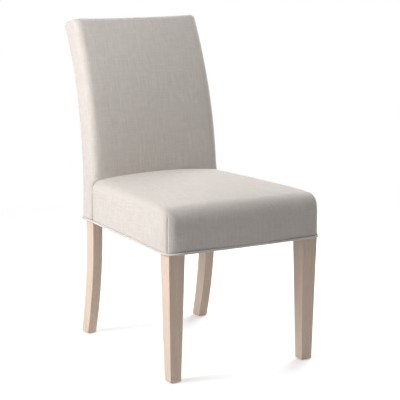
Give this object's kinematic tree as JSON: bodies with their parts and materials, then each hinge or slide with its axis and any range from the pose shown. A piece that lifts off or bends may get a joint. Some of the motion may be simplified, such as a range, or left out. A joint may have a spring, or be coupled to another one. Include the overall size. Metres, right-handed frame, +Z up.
{
  "type": "parsons chair",
  "caption": "Upholstered armless dining chair with a swept slab back, a full crowned seat with a soft front roll, piped lower edge, tapered front legs and curved rear legs.",
  "frame": {"origin": "on the floor under the glides, midway across the chair and about midway between the front of the seat and the rear edge of the back", "axes": "+Z up, -Y towards the front of the seat, +X to the sitter's left"},
  "size_m": [0.508, 0.7281, 0.9677],
  "materials": {
    "leg_oak": "white-washed open-grained oak, matt",
    "frame_beech": "planed, unfinished",
    "zinc_steel": "zinc plated",
    "jute_webbing": "coarse woven jute",
    "elastic_webbing": "woven elastic",
    "hessian": "open plain weave",
    "foam": "open-cell cushion foam",
    "wadding": "soft polyester fibre",
    "fibreboard": "smooth hardboard",
    "linen_cloth": "warm light-grey plain-weave linen with slubs",
    "cambric": "thin black non-woven cloth",
    "glide_plastic": "moulded plastic disc on a steel nail"
  },
  "bodies": {
    "root": {"front_leg_left": "leg_oak", "front_leg_right": "leg_oak", "rear_leg_left": "leg_oak", "rear_leg_right": "leg_oak", "front_seat_rail": "frame_beech", "rear_seat_rail": "frame_beech", "side_seat_rail_left": "frame_beech", "side_seat_rail_right": "frame_beech", "back_bottom_rail": "frame_beech", "back_middle_rail": "frame_beech", "back_top_rail": "frame_beech", "corner_block_front_left": "frame_beech", "corner_block_front_right": "frame_beech", "corner_block_rear_left": "frame_beech", "corner_block_rear_right": "frame_beech", "corner_block_screws": "zinc_steel", "seat_webbing_lengthwise": "jute_webbing", "seat_webbing_crosswise": "jute_webbing", "back_webbing": "elastic_webbing", "seat_platform_cloth": "hessian", "seat_foam": "foam", "front_rail_padding": "foam", "back_foam": "foam", "seat_wadding": "wadding", "back_wadding": "wadding", "outside_back_board": "fibreboard", "outside_back_padding": "wadding", "seat_cover": "linen_cloth", "inside_back_cover": "linen_cloth", "outside_back_cover": "linen_cloth", "bottom_welt": "linen_cloth", "dust_cover": "cambric", "floor_glides": "glide_plastic"}
  },
  "joints": []
}
